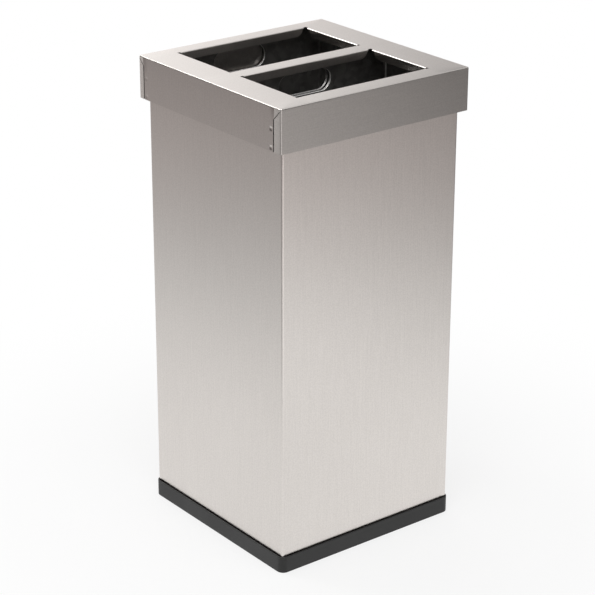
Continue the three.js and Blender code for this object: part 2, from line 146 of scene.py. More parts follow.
world = bpy.data.worlds.new("studio")
bpy.context.scene.world = world
room = new_tree(world)
heading = room.node("TexCoord", output="Generated")
height = room.node("SeparateXYZ", {0: heading}, output="Z")

ahead = facing(room, heading)
behind = ahead.ease(*BEHIND_FROM) * (ROOM_BEHIND - ROOM_BESIDE)
before = (ahead * -1).ease(*BEFORE_FROM) * (ROOM_BEFORE - ROOM_BESIDE)
walls = behind + before + ROOM_BESIDE
low = 1 - height.ease(*LOW_UP_TO)
backdrop = room.node(
    "VectorMath", {0: heading, 1: BACKDROP_SIDE}, output="Value", operation="DOT_PRODUCT")
walls = walls * (1 - low) + low * (backdrop.ease(*BACKDROP_FROM) * BACKDROP + ROOM_LOW)
over = height.ease(*CEILING_FROM)
strength = walls * (1 - over) + over * ROOM_CEILING
seen = room.node("LightPath", output="Is Camera Ray")
white_room = room.node("Background", {"Color": (*WHITE, 1), "Strength": 1})
warm = height.ease(*WARM_FROM).tint(WHITE, WARM_WALL)
soft_room = room.node("Background", {"Color": warm, "Strength": strength})
mixed_room = room.node("MixShader", {0: seen, 1: soft_room, 2: white_room})
room.node("OutputWorld", {"Surface": mixed_room})

# The floor as the metal shows it: white by the bin and greyer far off, darker on its right and left,
# with a dark and a bright strip before it that edge its front corner. Distances are in metres.
FLOOR_SIZE = 14
FLOOR_COLOUR = (0.8, 0.8, 0.8)
FLOOR_NEAR, FLOOR_FAR, FLOOR_FADE = 1.0, 0.5, (0.6, 4.4)
ASIDE_FROM = (0.68, 0.92)
ASIDE_FADE = (0.5, 2.2)
RIGHT_DARK, RIGHT_FROM = 0.8, (-0.5, 0.5)
LEFT_DARK, LEFT_FROM = 0.55, (-0.5, -0.1)
DARK_STRIP, DARK_SIDE, DARK_FROM = 0.8, (-0.86, -0.51, 0), (0.92, 0.975)
LIGHT_STRIP, LIGHT_SIDE, LIGHT_FROM = 0.7, (-0.42, -0.907, 0), (0.93, 0.98)
STRIP_FADE = (0.7, 1.3)
WARM_FADE = (1.2, 2.6)
WARM_FLOOR = (1, 0.92, 0.905)
SHADOW_FADE = (0.3, 1.0)
SHADOW_SHARE = 0.25

bpy.ops.mesh.primitive_plane_add(size=FLOOR_SIZE)
floor = bpy.context.object
floor.name = "studio_floor"
paint = bpy.data.materials.new("studio_floor_paint")
ground = new_tree(paint)
spot = ground.node("TexCoord", output="Object")
away = ground.node("VectorMath", {0: spot}, output="Value", operation="LENGTH")
lit = ground.node("BsdfDiffuse", {"Color": (*FLOOR_COLOUR, 1)})
white = ground.node("Emission", {"Color": (*WHITE, 1), "Strength": 1})
camera_ray = ground.node("LightPath", output="Is Camera Ray")
glossy_ray = ground.node("LightPath", output="Is Glossy Ray")
shown = away.ease(*SHADOW_FADE) * SHADOW_SHARE + (1 - SHADOW_SHARE)
to_camera = ground.node("MixShader", {0: shown, 1: lit, 2: white})
aside = 1 - facing(ground, spot).math("ABSOLUTE").ease(*ASIDE_FROM)
right = ground.node("SeparateXYZ", {0: spot}, output="X").ease(*RIGHT_FROM)
left = facing(ground, spot).ease(*LEFT_FROM) * (1 - right)
beside = away.ease(*ASIDE_FADE) * aside * (right * RIGHT_DARK + left * LEFT_DARK)
tone = (away.ease(*FLOOR_FADE) * (FLOOR_FAR - FLOOR_NEAR) + FLOOR_NEAR) * (1 - beside)
light_strip = facing(ground, spot, LIGHT_SIDE).ease(*LIGHT_FROM) * LIGHT_STRIP
dark_strip = facing(ground, spot, DARK_SIDE).ease(*DARK_FROM) * DARK_STRIP
tone = tone * (1 + (light_strip - dark_strip) * away.ease(*STRIP_FADE))
warm = away.ease(*WARM_FADE).tint(WHITE, WARM_FLOOR)
mirrored = ground.node("Emission", {"Color": warm, "Strength": tone})
plain = ground.node("MixShader", {0: glossy_ray, 1: lit, 2: mirrored})
surface = ground.node("MixShader", {0: camera_ray, 1: plain, 2: to_camera})
ground.node("OutputMaterial", {"Surface": surface})
floor.data.materials.append(paint)


BIN_MIDDLE = Vector((0, 0, 0.5))


def soft_light(name, place, size, power):
    """A round lamp, so wide and so strong in watts, turned to the bin."""
    bpy.ops.object.light_add(type="AREA", location=place)
    lamp = bpy.context.object
    lamp.name = name
    lamp.data.shape = "DISK"
    lamp.data.size = size
    lamp.data.energy = power
    lamp.rotation_euler = (BIN_MIDDLE - Vector(place)).to_track_quat("-Z", "Y").to_euler()


soft_light("light_above", (-0.6, -0.8, 3.2), 1.8, 45)
soft_light("light_behind", (-1.2, 2.3, 2.5), 1.2, 15)
soft_light("light_over_lid", (0.15, 1.2, 1.4), 0.9, 0.2)

# ---- Lid ----
# One blank of 1.2 mm brushed stainless sheet, folded down on four sides. The front and rear skirts
# turn round the corners as tabs, lie flush in the side skirts and are spot-welded to them.
MM = 0.001
LID_HALF = 190 * MM
LID_TOP = 800 * MM
SKIRT_END = 728 * MM
LID_SHEET = 1.2 * MM
LID_FOLD = 2.2 * MM
LID_CORNER = 2.8 * MM
OPENING_HALF_X = 131.5 * MM
OPENING_SPANS = ((-154.5 * MM, -13 * MM), (18 * MM, 159.5 * MM))
LIP_END = 786 * MM
LIP_GAP = 3.5 * MM
LIP_BEVEL = 9 * MM
LIP_CURL = 5 * MM
LIP_CURL_POWER = 8
LIP_LEVELS = (0.6, 0.82, 0.94, 1)
FRONT_TAB = 18 * MM
REAR_TAB = 13.5 * MM
TAB_SLIT = 2.2 * MM
SLOPE_SLIT_HALF = 0.84 * MM
TAB_LAP = 14 * MM
WELD_INSET = 6.5 * MM
WELD_HEIGHTS = (734 * MM, 764 * MM)
WELD_BOWL = ((4.0 * MM, 0), (3.3 * MM, 0.2 * MM), (2.2 * MM, 0.65 * MM), (1.0 * MM, 0.8 * MM))
WELD_FIELD = 4.8 * MM
WELD_SIDES = 16
REAR_WELD_DEPTH = 0.35
CORNER_STEPS = 5
FOLD_STEPS = 4
LAP_EDGE = 0.3 * MM
SMOOTH_BELOW = 35
HAIR = 0.01 * MM


def block(name, low, high):
    """A box between two corners, in edit mode, its origin at the scene's."""
    bpy.ops.object.select_all(action="DESELECT")
    low, high = Vector(low), Vector(high)
    bpy.ops.mesh.primitive_cube_add(size=1, location=(low + high) / 2, scale=high - low)
    bpy.ops.object.transform_apply(location=True, rotation=True, scale=True)
    piece = bpy.context.object
    piece.name = piece.data.name = name
    bpy.ops.object.mode_set(mode="EDIT")
    return piece


def pick(kind, test):
    """Selects the faces, edges or vertices whose middle and direction pass the test."""
    bpy.ops.mesh.select_mode(type=kind)
    bpy.ops.mesh.select_all(action="DESELECT")
    mesh = bpy.context.object.data
    cage = bmesh.from_edit_mesh(mesh)
    if kind == "FACE":
        found = [f for f in cage.faces if test(f.calc_center_median(), f.normal)]
    elif kind == "EDGE":
        found = [
            e for e in cage.edges
            if test((e.verts[0].co + e.verts[1].co) / 2, (e.verts[0].co - e.verts[1].co).normalized())
        ]
    else:
        found = [v for v in cage.verts if test(v.co, v.normal)]
    for part in found:
        part.select_set(True)
    cage.select_flush_mode()
    bmesh.update_edit_mesh(mesh)
    return len(found)


def near(a, b):
    return abs(a - b) < HAIR


def cut(place, direction):
    """Cuts the chosen faces along the plane through a place, square to a direction."""
    bpy.ops.mesh.bisect(plane_co=place, plane_no=direction)


def finish_sheet(piece, thickness, seen):
    """Thickens a one-sided shape away from the side that is seen, where faces pass the test."""
    bpy.ops.mesh.select_all(action="SELECT")
    bpy.ops.mesh.normals_make_consistent(inside=False)
    if not pick("FACE", seen):
        bpy.ops.mesh.select_all(action="SELECT")
        bpy.ops.mesh.flip_normals()
    bpy.ops.object.mode_set(mode="OBJECT")
    sheet = piece.modifiers.new("sheet", "SOLIDIFY")
    sheet.thickness = thickness
    sheet.offset = -1
    bpy.ops.object.modifier_apply(modifier="sheet")


def shade(piece):
    """Smooths the rounds and keeps the flats flat."""
    bpy.ops.object.select_all(action="DESELECT")
    piece.select_set(True)
    bpy.context.view_layer.objects.active = piece
    bpy.ops.object.shade_smooth_by_angle(angle=radians(SMOOTH_BELOW))
    steady = piece.modifiers.new("steady", "WEIGHTED_NORMAL")
    steady.keep_sharp = True
    bpy.ops.object.modifier_apply(modifier="steady")


lid = block("lid_sheet", (-LID_HALF, -LID_HALF, SKIRT_END), (LID_HALF, LID_HALF, LID_TOP))
pick("FACE", lambda middle, normal: normal.z < -0.9)
bpy.ops.mesh.delete(type="FACE")
pick("EDGE", lambda middle, line: abs(line.z) > 0.9)
bpy.ops.mesh.bevel(offset=LID_CORNER, segments=CORNER_STEPS, affect="EDGES")
pick("EDGE", lambda middle, line: near(middle.z, LID_TOP))
bpy.ops.mesh.bevel(offset=LID_FOLD, segments=FOLD_STEPS, affect="EDGES")


def on_side(middle, normal):
    """On the flat of one of the side skirts."""
    return abs(normal.x) > 0.999


# The open line between each tab and the side skirt: up from the skirt's edge, then sloped to the corner.
for end, tab in ((-1, FRONT_TAB), (1, REAR_TAB)):
    bend = end * (LID_HALF - tab)
    slope = LID_TOP - LID_FOLD - tab
    for offset in (-TAB_SLIT / 2, TAB_SLIT / 2):
        pick("FACE", on_side)
        cut((0, bend + offset, 0), (0, 1, 0))
    for offset in (-SLOPE_SLIT_HALF, SLOPE_SLIT_HALF):
        pick("FACE", lambda middle, normal: on_side(middle, normal)
             and (middle.y - bend) * end > -TAB_SLIT / 2)
        cut((0, bend, slope + offset), (0, -end, 1))

    def in_slit(middle, normal):
        out = (middle.y - bend) * end
        upright = abs(out) < TAB_SLIT / 2 and middle.z < slope
        sloped = abs(middle.z - slope - out) < SLOPE_SLIT_HALF and out > -TAB_SLIT / 2
        return on_side(middle, normal) and (upright or sloped)

    pick("FACE", in_slit)
    bpy.ops.mesh.delete(type="FACE")

# Shallow round spot-weld marks on the side skirts, beside each tab, pressed in less at the rear.
for end, tab, pressed in ((-1, FRONT_TAB, 1), (1, REAR_TAB, REAR_WELD_DEPTH)):
    weld_y = end * (LID_HALF - tab - WELD_INSET)
    for weld_z in WELD_HEIGHTS:
        for offset in (-WELD_FIELD, WELD_FIELD):
            pick("FACE", on_side)
            cut((0, weld_y + offset, 0), (0, 1, 0))
            pick("FACE", on_side)
            cut((0, 0, weld_z + offset), (0, 0, 1))
        for side in (-1, 1):
            centre = Vector((side * LID_HALF, weld_y, weld_z))
            pick("FACE", lambda middle, normal: (middle - centre).length < HAIR)
            bpy.ops.mesh.delete(type="FACE")
            bpy.ops.mesh.primitive_circle_add(
                vertices=WELD_SIDES, radius=WELD_BOWL[0][0], location=centre, rotation=(0, pi / 2, 0))
            pick("EDGE", lambda middle, line: near(middle.x, centre.x)
                 and (middle - centre).length < WELD_FIELD + HAIR)
            bpy.ops.mesh.fill(use_beauty=True)
            pick("EDGE", lambda middle, line: (middle - centre).length < WELD_BOWL[0][0])
            for (wide, deep), (radius, depth) in zip(WELD_BOWL, WELD_BOWL[1:]):
                inwards = (side * (deep - depth) * pressed, 0, 0)
                bpy.ops.mesh.extrude_edges_move(TRANSFORM_OT_translate={"value": inwards})
                bpy.ops.transform.resize(value=(1, radius / wide, radius / wide), center_override=centre)
            bpy.ops.mesh.edge_face_add()


def on_top(middle, normal):
    """On the flat of the lid's top."""
    return normal.z > 0.999


# The openings are cut back to where the lips' folds start, and each side's lip is folded down.
for side in (-1, 1):
    for x in (OPENING_HALF_X + LID_FOLD, OPENING_HALF_X - LIP_GAP):
        pick("FACE", on_top)
        cut((side * x, 0, 0), (1, 0, 0))
for front, back in OPENING_SPANS:
    for y in (front - LID_FOLD, front + LIP_GAP, back - LIP_GAP, back + LID_FOLD):
        pick("FACE", on_top)
        cut((0, y, 0), (0, 1, 0))
for front, back in OPENING_SPANS:
    pick("FACE", lambda middle, normal: on_top(middle, normal)
         and abs(middle.x) < OPENING_HALF_X + LID_FOLD
         and front - LID_FOLD < middle.y < back + LID_FOLD)
    bpy.ops.mesh.delete(type="FACE")


def fold_lip(middle, half, across, along):
    """One lip: the edges on a side of an opening, spun down and drawn on to the lip's end.
    across points into the opening, and half is half the side's length between its marks."""
    edge = middle - across * LID_FOLD

    def on_edge(point, line):
        out = (point - edge).dot(across)
        return near(point.z, LID_TOP) and near(out, 0) and abs((point - edge).dot(along)) < half

    pick("EDGE", on_edge)
    centre = edge - Vector((0, 0, LID_FOLD))
    bpy.ops.mesh.spin(steps=FOLD_STEPS, angle=pi / 2, center=centre, axis=across.cross((0, 0, 1)))
    turns = [pi / 2 / FOLD_STEPS * (step + 1) for step in range(FOLD_STEPS)]
    levels = [LID_TOP - LID_FOLD * (1 - cos(turn)) for turn in turns]
    for share in LIP_LEVELS:
        level = LID_TOP + (LIP_END - LID_TOP) * share
        bpy.ops.mesh.extrude_edges_move(TRANSFORM_OT_translate={"value": (0, 0, level - levels[-1])})
        levels.append(level)
    for level in levels:
        pick("VERT", lambda point, normal: near(point.z, level)
             and (point - edge).dot(across) > HAIR
             and (point - middle).dot(across) < HAIR
             and abs((point - edge).dot(along)) < half + HAIR)
        depth = (LID_TOP - level) / (LID_TOP - LIP_END)
        narrow = 1 - (LIP_BEVEL * depth + LIP_CURL * depth ** LIP_CURL_POWER) / half
        value = Vector((1, 1, 1)) - Vector((abs(along.x), abs(along.y), 0)) * (1 - narrow)
        bpy.ops.transform.resize(value=value, center_override=middle)


X, Y = Vector((1, 0, 0)), Vector((0, 1, 0))
for front, back in OPENING_SPANS:
    centre_y = (front + back) / 2
    half_y = (back - front) / 2 - LIP_GAP
    fold_lip(Vector((0, front, LID_TOP)), OPENING_HALF_X - LIP_GAP, Y, X)
    fold_lip(Vector((0, back, LID_TOP)), OPENING_HALF_X - LIP_GAP, -Y, X)
    fold_lip(Vector((-OPENING_HALF_X, centre_y, LID_TOP)), half_y, X, Y)
    fold_lip(Vector((OPENING_HALF_X, centre_y, LID_TOP)), half_y, -X, Y)
finish_sheet(lid, LID_SHEET, on_top)

# The tabs' tongues, which lie welded behind the side skirts and close the lines from inside.
bpy.ops.object.mode_set(mode="EDIT")
tongue_face = LID_HALF - 2 * LID_SHEET
for end, tab in ((-1, FRONT_TAB), (1, REAR_TAB)):
    inner, outer = LID_HALF - tab - TAB_LAP, LID_HALF - tab + LID_SHEET
    low, high = SKIRT_END + MM, LID_TOP - LID_FOLD - tab - MM
    for side in (-1, 1):
        bpy.ops.mesh.select_all(action="DESELECT")
        bpy.ops.mesh.primitive_cube_add(
            size=1,
            location=(side * (tongue_face + LID_SHEET / 2), end * (inner + outer) / 2, (low + high) / 2),
            scale=(LID_SHEET, outer - inner, high - low))
pick("EDGE", lambda middle, line: near(abs(middle.x), tongue_face) and abs(line.x) < 0.5)
bpy.ops.mesh.bevel(offset=LAP_EDGE, segments=2, affect="EDGES")
bpy.ops.object.mode_set(mode="OBJECT")
shade(lid)
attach(lid, "lid")
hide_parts("lid_pan")


STEEL_DARK = (0.65, 0.615, 0.585)
STEEL_LIGHT = (0.81, 0.77, 0.735)
SCRATCH_ALONG, SCRATCH_ACROSS = 20, 2200
BAND_ALONG, BAND_ACROSS = 1.5, 150


def brushed(name, across, rough=0.36, anisotropic=0.8, turn=0.0, bright=1.0):
    """Stainless steel with a fine grain. across is 1 for each of x, y and z that runs across the grain,
    and turn is 0 for a grain that stands upright on a wall and 0.25 for one that lies level."""
    steel = bpy.data.materials.new(name)
    sheet = new_tree(steel)
    spot = sheet.node("TexCoord", output="Object")
    fine_scale = [SCRATCH_ALONG + SCRATCH_ACROSS * a for a in across]
    band_scale = [BAND_ALONG + BAND_ACROSS * a for a in across]
    scratches = sheet.node("Mapping", {"Vector": spot, "Scale": fine_scale})
    bands = sheet.node("Mapping", {"Vector": spot, "Scale": band_scale})
    fine = sheet.node("TexNoise", {"Vector": scratches, "Scale": 1, "Detail": 3})
    broad = sheet.node("TexNoise", {"Vector": bands, "Scale": 1, "Detail": 2})
    cloud = sheet.node("TexNoise", {"Vector": spot, "Scale": 5, "Detail": 2})
    speck = sheet.node("TexNoise", {"Vector": spot, "Scale": 420, "Detail": 1})
    tone = fine.ease(0.3, 0.7) * 0.35 + speck.ease(0.35, 0.65) * 0.3 + broad * 0.15 + cloud * 0.2
    relief = sheet.node("Bump", {"Height": fine, "Strength": 0.15, "Distance": 0.00005})
    # bright scales the steel's colour; below 1 it is painted shade, a darker copy of the same sheet.
    dark, light = ([part * bright for part in colour] for colour in (STEEL_DARK, STEEL_LIGHT))
    skin = sheet.node("BsdfPrincipled", {
        "Base Color": tone.tint(dark, light),
        "Metallic": 1,
        "Roughness": rough - 0.05 + broad * 0.04 + fine * 0.06,
        "Anisotropic": anisotropic,
        "Anisotropic Rotation": turn,
        "Normal": relief,
    })
    sheet.node("OutputMaterial", {"Surface": skin})
    return steel


LEVEL = {"across": (0, 0, 1), "anisotropic": 0.85, "turn": 0.25}
UPRIGHT_GRAIN, LEVEL_GRAIN, TOP_GRAIN, SIDE_LIP, LONG_LIP, SLIT_SHADE = range(6)
# The skirts and long lips are made darker copies of the top's steel by bright: painted shade.
for grain_and_shade in (
    brushed("lid_steel_upright", (0, 1, 0), bright=0.93),
    brushed("lid_steel_level", rough=0.4, bright=0.86, **LEVEL),
    brushed("lid_steel_top", (0, 1, 0), rough=0.3, anisotropic=0),
    brushed("lid_steel_side_lip", (0, 1, 0), rough=0.18, anisotropic=0),
    brushed("lid_steel_long_lip", rough=0.34, bright=0.74, **LEVEL),
):
    lid.data.materials.append(grain_and_shade)

# In the open lines and on the tongues behind them, near-black paint stands for the shade in the gap.
slit_painted_shade = bpy.data.materials.new("lid_weld_scale")
tree = new_tree(slit_painted_shade)
spot = tree.node("TexCoord", output="Object")
shade_mottle = tree.node("TexNoise", {"Vector": spot, "Scale": 90, "Detail": 3})
skin = tree.node("BsdfPrincipled", {
    "Base Color": shade_mottle.tint((0.008, 0.008, 0.007), (0.03, 0.027, 0.024)),
    "Metallic": 1,
    "Roughness": 0.5 + shade_mottle * 0.2,
})
tree.node("OutputMaterial", {"Surface": skin})
lid.data.materials.append(slit_painted_shade)

# Each face's grain and painted shade, from where it lies and which way it faces.
for face in lid.data.polygons:
    across, along = abs(face.center.x), abs(face.center.y)
    lean_x, lean_y, lean_z = (abs(part) for part in face.normal)
    tab = LID_HALF - (FRONT_TAB if face.center.y < 0 else REAR_TAB)
    on_tab = across > LID_HALF - LID_CORNER and along > tab
    below_slope = face.center.z - LID_TOP + LID_FOLD + along < LID_HALF
    on_side_lip = across < OPENING_HALF_X + LID_SHEET + HAIR and lean_x > 0.5
    behind_line = near(across, LID_HALF - LID_SHEET) and tab - TAB_LAP < along < tab + LID_SHEET
    line_edge = near(across, LID_HALF - LID_SHEET / 2) and lean_x < 0.5 and lean_z < 0.95
    # The tongues' faces behind the lines and the lines' cut edges take the painted shade.
    if behind_line or (line_edge and along < LID_HALF - 2 * LID_SHEET):
        face.material_index = SLIT_SHADE
    elif on_side_lip:
        face.material_index = SIDE_LIP
    elif lean_z > 0.7:
        face.material_index = TOP_GRAIN
    elif lean_y > 0.7 and along < LID_HALF - 4 * LID_SHEET:
        face.material_index = LONG_LIP
    elif lean_y > 0.7 or (on_tab and below_slope):
        face.material_index = LEVEL_GRAIN
    else:
        face.material_index = UPRIGHT_GRAIN

# ---- Casing ----
# One wrap of 1 mm stainless sheet, grain upright, folded at four corners and closed by a butt line
# down the rear wall. Round its mouth a narrow flange is turned out, and the lid lies on that.
CASING_HALF = 179 * MM
CASING_FOOT = 8 * MM
WALL_END = 796.3 * MM
CASING_CORNER = 3.5 * MM
CASING_CORNER_STEPS = 6
CASING_SHEET = 1 * MM
FLANGE_BEND = 180.5 * MM
FLANGE_EDGE = 187 * MM
SEAM_PLACE = 130 * MM
SEAM_GAP = 0.5 * MM

casing = block(
    "casing_wrap", (-CASING_HALF, -CASING_HALF, CASING_FOOT), (CASING_HALF, CASING_HALF, WALL_END))
pick("FACE", lambda middle, normal: abs(normal.z) > 0.9)
bpy.ops.mesh.delete(type="FACE")
pick("EDGE", lambda middle, line: abs(line.z) > 0.9)
bpy.ops.mesh.bevel(offset=CASING_CORNER, segments=CASING_CORNER_STEPS, affect="EDGES")


def on_rear(middle, normal):
    """On the flat of the rear wall."""
    return normal.y > 0.999


for x in (SEAM_PLACE - SEAM_GAP / 2, SEAM_PLACE + SEAM_GAP / 2):
    pick("FACE", on_rear)
    cut((x, 0, 0), (1, 0, 0))
pick("FACE", lambda middle, normal: on_rear(middle, normal) and near(middle.x, SEAM_PLACE))
bpy.ops.mesh.delete(type="FACE")
for out in (X, Y, -X, -Y):
    pick("EDGE", lambda middle, line: near(middle.z, WALL_END) and near(middle.dot(out), CASING_HALF))
    centre = out * FLANGE_BEND + Vector((0, 0, WALL_END))
    bpy.ops.mesh.spin(steps=FOLD_STEPS, angle=pi / 2, center=centre, axis=out.cross((0, 0, 1)))
    reach = out * (FLANGE_EDGE - FLANGE_BEND)
    bpy.ops.mesh.extrude_edges_move(TRANSFORM_OT_translate={"value": reach})
finish_sheet(
    casing, CASING_SHEET, lambda middle, normal: near(middle.y, -CASING_HALF) and normal.y < -0.999)
shade(casing)
casing.data.materials.append(brushed("casing_steel", (1, 1, 0), bright=1.02))
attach(casing, "casing")
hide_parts("casing_shell")

# ---- Base ring ----
# Black moulded plastic with a fine dull grain. The casing's lower edge stands in its groove, and
# screws from below pull it up against the casing's tray.
RING_HALF = 183.3 * MM
RING_CORNER = 12.4 * MM
RING_CORNER_STEPS = 10
RING_TOP = 29 * MM
RING_TOP_EDGE = 1 * MM
RING_FOOT_EDGE = 0.6 * MM
RING_WALL = 1 * MM
GROOVE_DEPTH = 21 * MM
LEDGE_INSET = 3.8 * MM
LEDGE_RISE = 4 * MM
LEDGE_WIDTH = 4.5 * MM
FOOT_WIDTH = 9.7 * MM
WEB_UNDERSIDE = 9 * MM
EYE_HALF = 157 * MM
RIB_HALF = 160 * MM
WEB_HALF = 173 * MM
RING_INNER_TOP = 12 * MM

ring = block("base_ring_moulding", (-RING_HALF, -RING_HALF, 0), (RING_HALF, RING_HALF, RING_TOP))
pick("EDGE", lambda middle, line: abs(line.z) > 0.9)
bpy.ops.mesh.bevel(offset=RING_CORNER, segments=RING_CORNER_STEPS, affect="EDGES")
pick("EDGE", lambda middle, line: near(middle.z, RING_TOP))
bpy.ops.mesh.bevel(offset=RING_TOP_EDGE, segments=3, affect="EDGES")
pick("EDGE", lambda middle, line: near(middle.z, 0))
bpy.ops.mesh.bevel(offset=RING_FOOT_EDGE, segments=2, affect="EDGES")


def raise_face(rise):
    """Pushes the chosen face up, or down where rise is below 0, with walls behind it."""
    bpy.ops.mesh.extrude_region_move(TRANSFORM_OT_translate={"value": (0, 0, rise)})


def step(inset, rise):
    """Insets the chosen face, then pushes its middle up or down."""
    bpy.ops.mesh.inset(thickness=inset)
    raise_face(rise)


def draw_in(factor):
    """Draws a copy of the chosen face's edge in towards the middle."""
    bpy.ops.mesh.extrude_region_move()
    bpy.ops.transform.resize(value=(factor, factor, 1), center_override=(0, 0, 0))


# From above: the groove inside the outer wall, the ledge inside it, the web and the rib's inner wall.
pick("FACE", lambda middle, normal: normal.z > 0.999)
step(RING_WALL, -GROOVE_DEPTH)
step(LEDGE_INSET, LEDGE_RISE)
bpy.ops.mesh.inset(thickness=LEDGE_WIDTH)
draw_in(EYE_HALF / WEB_HALF)
raise_face(-RING_INNER_TOP)
bpy.ops.mesh.delete(type="FACE")
# From below: the foot, the hollow under the web and the rib round the eye.
pick("FACE", lambda middle, normal: normal.z < -0.999 and middle.xy.length < MM)
step(FOOT_WIDTH, WEB_UNDERSIDE)
draw_in(RIB_HALF / WEB_HALF)
raise_face(-WEB_UNDERSIDE)
draw_in(EYE_HALF / RIB_HALF)
bpy.ops.mesh.delete(type="FACE")
bpy.ops.mesh.select_all(action="SELECT")
bpy.ops.mesh.remove_doubles(threshold=HAIR)
bpy.ops.object.mode_set(mode="OBJECT")
shade(ring)
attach(ring, "casing")
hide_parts("base_ring")

plastic = bpy.data.materials.new("ring_plastic")
moulding = new_tree(plastic)
spot = moulding.node("TexCoord", output="Object")
grain = moulding.node("TexNoise", {"Vector": spot, "Scale": 900, "Detail": 2})
cloud = moulding.node("TexNoise", {"Vector": spot, "Scale": 14, "Detail": 3})
skin = moulding.node("BsdfPrincipled", {
    "Base Color": (grain * 0.6 + cloud * 0.4).tint((0.008, 0.008, 0.0078), (0.022, 0.022, 0.0215)),
    "Roughness": 0.42 + cloud * 0.16,
    "Normal": moulding.node("Bump", {"Height": grain, "Strength": 0.3, "Distance": 0.0001}),
})
moulding.node("OutputMaterial", {"Surface": skin})
ring.data.materials.append(plastic)

# ---- Liners ----
# Two open boxes of 1 mm galvanised sheet, each with its rim turned out and down. A lap seam with
# rivets closes the wrap on an end wall, and each long wall has a grip hole with its edge turned out.
RIM_HALF = 176 * MM
RIM_NEAR = -1.5 * MM
RIM_LOW = 788 * MM
RIM_TOP = 795 * MM
LINER_FOOT = 13 * MM
RIM_CORNER = 7.5 * MM
RIM_CORNER_STEPS = 6
RIM_ROUND = 1.5 * MM
RIM_WIDTH = 3 * MM
RIM_FOLD = 1 * MM
LINER_SHEET = 1 * MM
# Where each long wall's outer face lies, and which way it faces.
LINER_WALLS = ((-171.5 * MM, -1), (-6 * MM, 1))
GRIP_HEIGHT = 764 * MM
GRIP_RADIUS = 19 * MM
GRIP_SIDES = 48
GRIP_FLAT = 34 * MM
GRIP_TURN = 3.5 * MM
GRIP_ROUND = 0.8 * MM
GRIP_MARGIN = 6 * MM
BARE_AND_HIGHLIGHT_WIDTH = 0.9 * MM
SEAM_WALL = -172.5 * MM
SEAM_MIDDLE = -88.75 * MM
SEAM_WIDTH = 16 * MM

liner = block("liner_front_sheet", (-RIM_HALF, -RIM_HALF, RIM_LOW), (RIM_HALF, RIM_NEAR, RIM_TOP))
pick("FACE", lambda middle, normal: normal.z < -0.9)
bpy.ops.mesh.delete(type="FACE")
pick("EDGE", lambda middle, line: abs(line.z) > 0.9)
bpy.ops.mesh.bevel(offset=RIM_CORNER, segments=RIM_CORNER_STEPS, affect="EDGES")
pick("EDGE", lambda middle, line: near(middle.z, RIM_TOP))
bpy.ops.mesh.bevel(offset=RIM_ROUND, segments=3, affect="EDGES")
pick("FACE", lambda middle, normal: normal.z > 0.999)
bpy.ops.mesh.inset(thickness=RIM_WIDTH)
bpy.ops.mesh.extrude_region_move(TRANSFORM_OT_translate={"value": (0, 0, LINER_FOOT - RIM_TOP)})
bpy.ops.mesh.delete(type="FACE")
mouth = RIM_HALF - RIM_ROUND - RIM_WIDTH + HAIR
pick("EDGE", lambda middle, line: near(middle.z, RIM_TOP)
     and abs(middle.x) < mouth and -mouth < middle.y < RIM_NEAR - RIM_HALF + mouth)
bpy.ops.mesh.bevel(offset=RIM_FOLD, segments=3, affect="EDGES")

# The grip holes: a piece of each long wall is cut round, filled again about the hole's outline, and
# the hole's edge is drawn out and rounded.
for wall, out in LINER_WALLS:
    def on_wall(point, normal):
        return near(point.y, wall) and abs(normal.y) > 0.999

    def from_grip(point):
        """How far a point lies from the middle line of the grip hole, or a long way off the wall."""
        if not near(point.y, wall):
            return 1
        return Vector((max(abs(point.x) - GRIP_FLAT, 0), point.z - GRIP_HEIGHT)).length

    for side in (-1, 1):
        pick("FACE", on_wall)
        cut((side * (GRIP_FLAT + GRIP_RADIUS + GRIP_MARGIN), 0, 0), (1, 0, 0))
        pick("FACE", on_wall)
        cut((0, 0, GRIP_HEIGHT + side * (GRIP_RADIUS + GRIP_MARGIN)), (0, 0, 1))
    pick("FACE", lambda point, normal: on_wall(point, normal) and from_grip(point) < GRIP_RADIUS)
    bpy.ops.mesh.delete(type="FACE")
    bpy.ops.mesh.select_mode(type="VERT")
    bpy.ops.mesh.select_all(action="DESELECT")
    bpy.ops.mesh.primitive_circle_add(
        vertices=GRIP_SIDES,
        radius=GRIP_RADIUS,
        location=(0, wall, GRIP_HEIGHT),
        rotation=(pi / 2, pi / GRIP_SIDES, 0))
    for side in (-1, 1):
        pick("VERT", lambda point, normal: from_grip(point) < GRIP_RADIUS + HAIR
             and 0 < point.x * side < GRIP_RADIUS)
        bpy.ops.transform.translate(value=(side * GRIP_FLAT, 0, 0))
    pick("EDGE", lambda point, line: from_grip(point) < GRIP_RADIUS + 1.5 * GRIP_MARGIN
         and abs(point.x) < GRIP_FLAT + GRIP_RADIUS + GRIP_MARGIN + HAIR
         and abs(point.z - GRIP_HEIGHT) < GRIP_RADIUS + GRIP_MARGIN + HAIR)
    bpy.ops.mesh.fill(use_beauty=True)
    # The new faces are turned to point the same way as the wall's.
    if pick("FACE", lambda point, normal: near(point.y, wall) and normal.y * out > 0.9):
        bpy.ops.mesh.flip_normals()
    pick("EDGE", lambda point, line: from_grip(point) < GRIP_RADIUS + HAIR)
    bpy.ops.mesh.extrude_edges_move(TRANSFORM_OT_translate={"value": (0, out * GRIP_TURN, 0)})
    pick("EDGE", lambda point, line: from_grip(point) < GRIP_RADIUS + HAIR)
    bpy.ops.mesh.bevel(offset=GRIP_ROUND, segments=3, affect="EDGES")
finish_sheet(liner, LINER_SHEET, lambda middle, normal: near(middle.z, RIM_TOP) and normal.z > 0.999)

